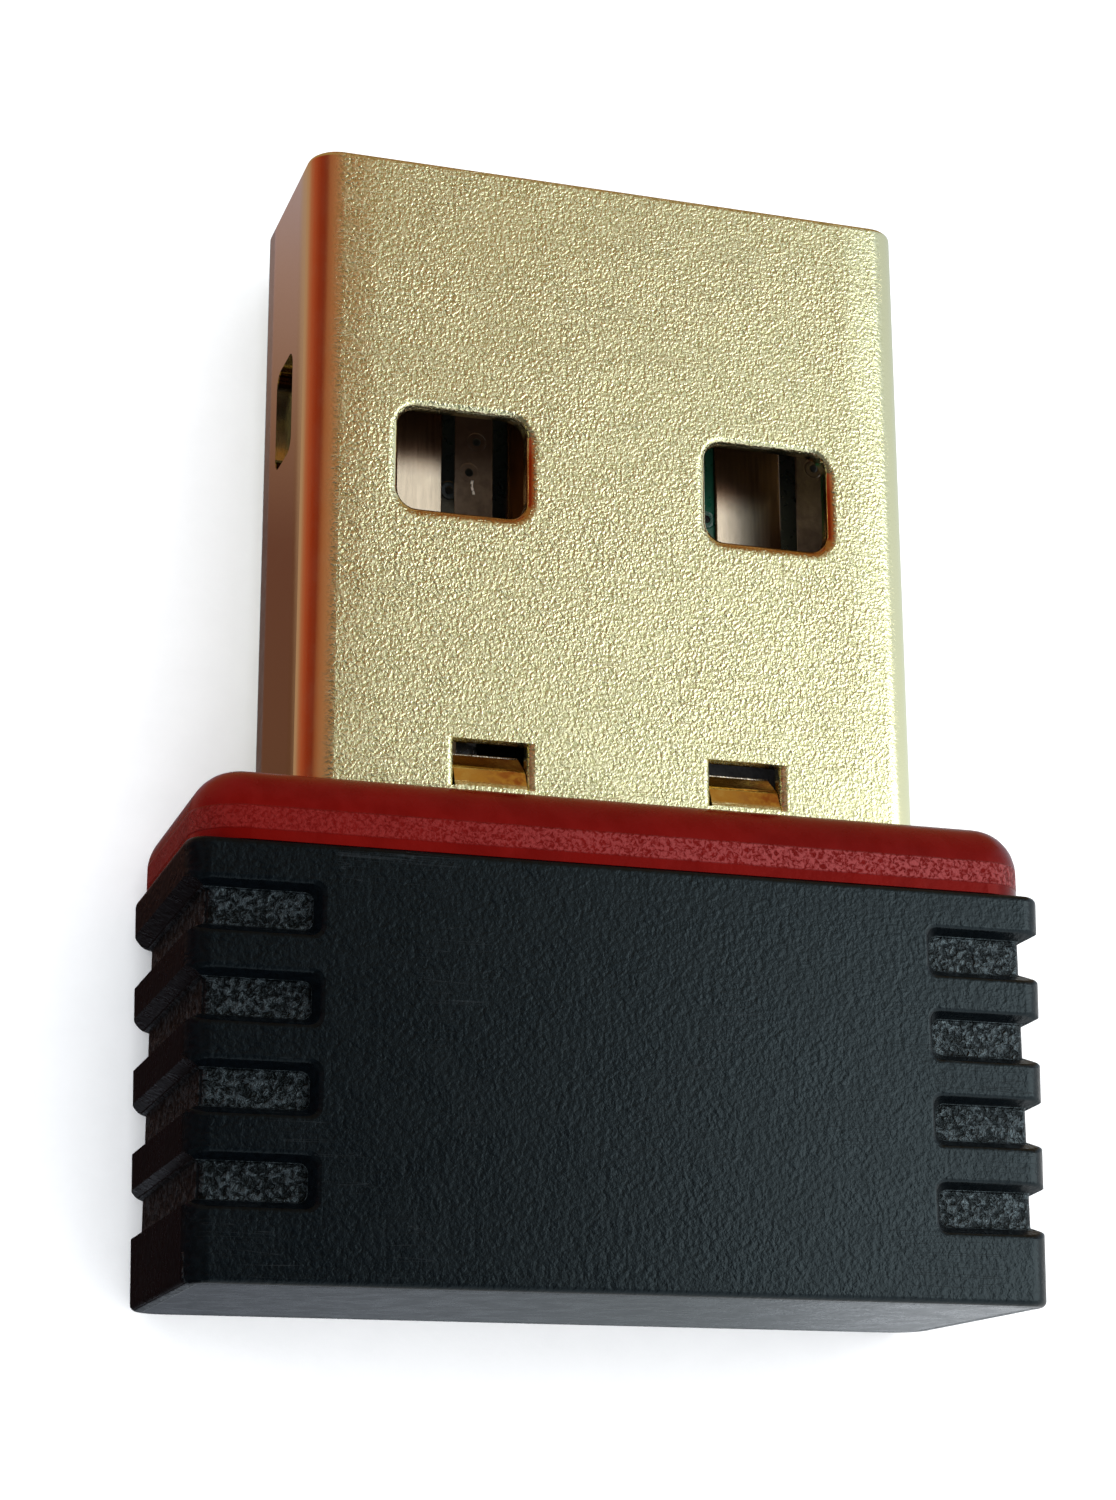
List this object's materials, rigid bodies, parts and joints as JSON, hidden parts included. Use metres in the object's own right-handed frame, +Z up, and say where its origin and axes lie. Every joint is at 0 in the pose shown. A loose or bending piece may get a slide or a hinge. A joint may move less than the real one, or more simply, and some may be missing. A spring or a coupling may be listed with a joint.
{
  "type": "usb wifi adapter",
  "caption": "Nano USB wireless network adapter: grooved plastic cap, ring collar and a sheet-metal type A plug over a circuit board.",
  "frame": {"origin": "bottom centre of the whole adapter as it lies on its rear wide face", "axes": "+Y along the plug towards its tip, +X across the width, +Z up from the rear wide face to the front wide face"},
  "size_m": [0.0162, 0.0214, 0.006],
  "materials": {
    "cap_plastic": "charcoal ABS with a fine spark-eroded grain",
    "collar_plastic": "deep red ABS, satin",
    "gold_plate": "flash gold plated steel sheet, fine orange-peel grain",
    "contact_plate": "gold over nickel, polished",
    "board_laminate": "glass-epoxy laminate under green solder mask",
    "copper": "copper",
    "antenna_copper": "copper trace under green solder mask",
    "spacer_plastic": "natural nylon",
    "solder": "bright tin solder",
    "chip_plastic": "black moulding compound",
    "crystal_ceramic": "fired ceramic",
    "crystal_metal": "seam-welded lid",
    "lead_metal": "tinned lead frame",
    "ferrite": "sintered ferrite",
    "winding_copper": "enamelled copper wire",
    "capacitor_ceramic": "fired ceramic, tan",
    "resistor_coat": "black glass coat",
    "matching_ceramic": "blue-grey ceramic"
  },
  "bodies": {
    "root": {"housing_cap": "cap_plastic", "collar": "collar_plastic", "plug_shell": "gold_plate", "circuit_board": "board_laminate", "plated_vias": "copper", "tongue_spacer": "spacer_plastic", "contact_vbus": "contact_plate", "contact_data_minus": "contact_plate", "contact_data_plus": "contact_plate", "contact_ground": "contact_plate", "shell_solder": "solder", "wifi_chip": "chip_plastic", "wifi_chip_terminals": "solder", "crystal_base": "crystal_ceramic", "crystal_lid": "crystal_metal", "crystal_pads": "solder", "regulator_body": "chip_plastic", "regulator_leads": "lead_metal", "inductor_core": "ferrite", "inductor_winding": "winding_copper", "inductor_terminals": "solder", "printed_antenna": "antenna_copper", "capacitor_bodies": "capacitor_ceramic", "capacitor_terminals": "solder", "resistor_bodies": "resistor_coat", "resistor_terminals": "solder", "matching_inductor_bodies": "matching_ceramic", "matching_inductor_terminals": "solder", "bulk_capacitor_bodies": "capacitor_ceramic", "bulk_capacitor_terminals": "solder", "ferrite_bead_bodies": "ferrite", "ferrite_bead_terminals": "solder"}
  },
  "joints": []
}
